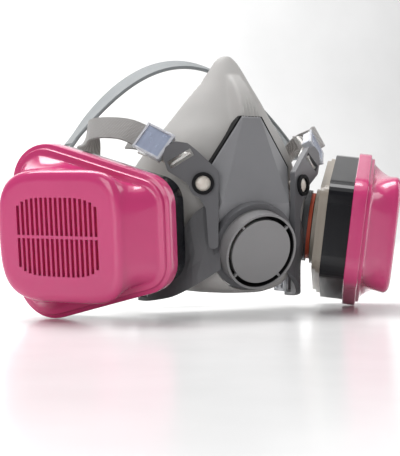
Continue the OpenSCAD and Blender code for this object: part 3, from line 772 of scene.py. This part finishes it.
# fine ribs down the nose bridge, above the shield: place across, lower and upper end
parts = []
for x, low, high in ((-4.2, 106.2, 113), (-2.1, 106.2, 117), (0, 106.2, 119), (2.1, 106.2, 117),
                     (4.2, 106.2, 113)):
    rings = []
    for i in range(13):
        z = lerp(low, high, i / 12)
        f = (z - BRIDGE_LOW) / (BRIDGE_HIGH - BRIDGE_LOW)
        i0 = min(int(f * BRIDGE_STEPS), BRIDGE_STEPS - 1)
        y = lerp(BRIDGE[i0][2].y, BRIDGE[i0 + 1][2].y, f * BRIDGE_STEPS - i0)
        at = Vector((x * (1 - 0.25 * f) * MM, y + 0.0002, z * MM))
        r = 0.6 * MM * math.sin(math.pi * min(max(i / 12, 0.04), 0.96)) ** 0.5
        rings.append([at + Vector((r * math.cos(q), r * 1.1 * math.sin(q), 0))
                      for q in (math.pi * j / 4 for j in range(8))])
    parts.append(loft(rings))
piece("nose_ribs", *joined(parts), MAT["facepiece"], ROOT, "facepiece", 60)

# black strip set into the gap round the shield: painted shade, where the gap is shaded
outline = [(-6.7, 107.3), (6.7, 107.3), (24.4, 80.6), (24.8, 56), (22, 48), (-22, 48), (-24.8, 56),
           (-24.4, 80.6)]
back = [Vector((x, front_y + 24, z)) * MM for x, z in outline]
edge = [Vector((x, front_y + (10.9 if z > 100 else 12.2), z)) * MM for x, z in outline]
gap_shade = temp(*loft([back, edge]))
cuts = [valve_rod(0.04, VALVE_RING_R), temp(*skin_solid(0.3, -30, 0, len(ROWS) - 1, 60))]
for cut in cuts:
    boolean(gap_shade, cut)
apply(gap_shade, *cuts)
gap_shade.name = "shield_gap_painted_shade"
dress(gap_shade, MAT["grommet"], ROOT, "grommet")

# black lining inside the valve cover: painted shade of its inside walls
throat_shade = [(19.78, -0.15), (19.78, -6.9), (17.2, -6.9), (17.2, -6.5), (19.45, -6.5), (19.45, -0.4)]
piece("valve_throat_painted_shade", *turned(throat_shade, valve_at, valve_n), MAT["grommet"], ROOT, "grommet", 50)

# ---- harness ----
buckle_lo, buckle_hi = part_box("upper_buckle_left")
buckle_c = (buckle_lo + buckle_hi) / 2
along = Vector((8.1, 12, 7)).normalized()
slot_dir = Vector((-0.75, -0.43, 0.5))
across = -(slot_dir - slot_dir.dot(along) * along).normalized()
buckle_n = across.cross(along)


def B(side, x, y, z):
    """A point in millimetres in the upper buckle's frame, from its middle."""
    return flip(buckle_c + (across * x + along * y + buckle_n * z) * MM, side)


def frame_plate(place, w, l, bar, lo, hi):
    """A rectangular frame of four bars; w and l are half its size."""
    return [block(place, (-w, -l, lo), (w, -l + bar, hi)),
            block(place, (-w, l - bar, lo), (w, l, hi)),
            block(place, (-w, -l + bar, lo), (-w + bar, l - bar, hi)),
            block(place, (w - bar, -l + bar, lo), (w, l - bar, hi))]


for s, side in SIDES.items():
    def place(x, y, z):
        return B(side, x, y, z)

    top = frame_plate(place, 7.9, 9, 1.3, 1.9, 3.2)
    pane = block(place, (-6.7, -7.8, 2.0), (6.7, 7.8, 2.7))
    cheeks = [block(place, (-7.9, -7.5, -2.2), (-6.9, 6.5, 2.4)),
              block(place, (6.9, -7.5, -2.2), (7.9, 6.5, 2.4)),
              block(place, (-7.9, -7.5, -2.9), (7.9, -5.9, 2.4))]
    piece(f"buckle_plate_{s}", *joined(top + cheeks), MAT["buckle"], ROOT, "buckle", bevel=0.3,
          replaces=[f"upper_buckle_{s}"])
    piece(f"buckle_pane_{s}", *pane, MAT["buckle_pane"], ROOT, "buckle", bevel=0.25)
    e = flip(across, side)
    route = [B(side, 0, -6.6, -2.4), B(side, 0, -2, -3.1), B(side, 0, 3, -4.3), B(side, 0, 8.6, -6)]
    piece(f"buckle_jaw_{s}", *ribbon(route, [e] * 4, 15.6 * MM, 1.3 * MM), MAT["buckle_milk"], ROOT, "buckle")
    # hook of the buckle: behind the arm and up through its slot
    slot_e = flip(arm_x * 0.857 - Vector((0, 0, 0.515)), side)
    route = [B(side, 0, -5.2, -2.3), B(side, 0.4, -9.5, -4.2), B(side, 0.7, -13.5, -5.2),
             A(side, 11.6, 13, -2.2), A(side, 11.6, 13, -0.7)]
    edges = [e, e, (e + slot_e) / 2, slot_e, slot_e]
    piece(f"buckle_hook_{s}", *ribbon(route, edges, 12 * MM, 1.2 * MM), MAT["buckle_milk"], ROOT, "buckle")
    # loose strap end under the buckle
    route = [B(side, 0, -4.5, 0.9), B(side, 0, -5.4, -0.2), B(side, 0, -4, -1.3), B(side, 0, 3, -2.4),
             B(side, 0.3, 9, -4.2), B(side, 0.8, 14, -6.6), B(side, 1.5, 19.5, -10)]
    piece(f"strap_end_{s}", *ribbon(route, [e] * len(route), 13 * MM, 1.1 * MM), MAT["webbing"], ROOT,
          "webbing", replaces=[f"strap_tail_{s}"])

    # strap from the buckle towards the crown band; the right one ends 4.8 mm short of it
    route = [flip(p, side) for p in (
        buckle_c + (along + buckle_n * 0.1) * MM, buckle_c + (along * 9 + buckle_n * 0.4) * MM,
        Vector((61, front_y + 39, 100.0)) * MM, Vector((68.5, front_y + 47.5, 101.2)) * MM,
        Vector((72.6, front_y + 57, 100.8)) * MM, Vector((71.5, front_y + 66, 98.8)) * MM,
        Vector((68, front_y + 72.5, 95.5)) * MM, Vector((66, front_y + 78, 90)) * MM,
        Vector((64.5, front_y + 82, 83)) * MM)]
    edges = [flip(-across, side)] * 2 + [flip(Vector(v), side) for v in (
        (-0.58, 0.05, 0.81), (-0.5, 0.1, 0.86), (-0.3, 0.15, 0.94), (-0.1, -0.2, 0.95), (-0.45, -0.4, 0.6),
        (-0.8, -0.5, 0.2), (-0.85, -0.5, 0.0))]
    ob = piece(f"upper_webbing_{s}", *ribbon(route, edges, 13.4 * MM, 1.2 * MM, steps=12), MAT["webbing"],
               None, "webbing", replaces=[f"upper_strap_{s}"])
    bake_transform(ob)

# crown band: one moulded strip with a slotted tab at each end
yaw_c = math.radians(4)
crown_mid = Vector((0, front_y + 89, 0))


def C(x, y, z):
    """A point in millimetres in the crown band's frame, turned by yaw_c about the vertical."""
    turned_x = x * math.cos(yaw_c) + y * math.sin(yaw_c)
    turned_y = -x * math.sin(yaw_c) + y * math.cos(yaw_c)
    return (crown_mid + Vector((turned_x, turned_y, z))) * MM


CURL = 102                             # the arch drops by x * x / CURL
half, top = 67, cad_hi.z / MM - 1
arch = [C(x, 0, top - x * x / CURL) for x in (half * (i / 8 - 1) for i in range(17))]
foot = half * half / CURL
slope = math.atan(2 * half / CURL)
ends = [[C(k * (half + d * math.cos(slope)), 0, top - foot - d * math.sin(slope)) for d in (4, 9, 13.5)]
        for k in (1, -1)]
route = ends[1][::-1] + arch + ends[0]
cross_y = C(0, 1, 0) - C(0, 0, 0)
lean = [math.radians(20) * (1 - min(1, abs(p.x / MM) / half) ** 6) for p in route]
band_edges = [cross_y * math.cos(a) + Vector((0, 0, MM * math.sin(a))) for a in lean]


def band_width(f):
    """The band widens to tabs at its ends."""
    edge = min(f, 1 - f)
    return 1.0 + 0.2 * max(0, 1 - edge / 0.09)


ob = piece("crown_strip", *ribbon(route, band_edges, 15 * MM, 2 * MM, steps=6, profile=band_width),
           MAT["band"], "head_harness", "band")
cutters = []
for k in (1, -1):
    def slot_place(d, y, z):
        return C(k * (half + d * math.cos(slope) + z * math.sin(slope)), y,
                 top - foot - d * math.sin(slope) + z * math.cos(slope))

    cutters.append(temp(*block(slot_place, (7, -7.2, -4), (11, 7.2, 4))))
for c in cutters:
    boolean(ob, c)
apply(ob, *cutters)
shade(ob.data, 40)
add_bevel(ob, 0.25, 50, 1)
dress(ob, MAT["band"], None, "band", ["crown_band"])

# neck straps
neck = [Vector((x, front_y + y, z)) * MM for x, y, z in (
    (49, 60, 18), (49, 65, 18), (52, 69, 19), (51, 79, 20), (43, 89, 21), (29, 94.5, 21), (12, 95, 21))]
for s, side in SIDES.items():
    route = [flip(p, side) for p in neck]
    ob = piece(f"neck_webbing_{s}", *ribbon(route, [Vector((0, 0, 1))] * len(route), 13 * MM, 1.3 * MM),
               MAT["webbing"], None, "webbing", replaces=[f"neck_strap_{s}"])
    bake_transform(ob)
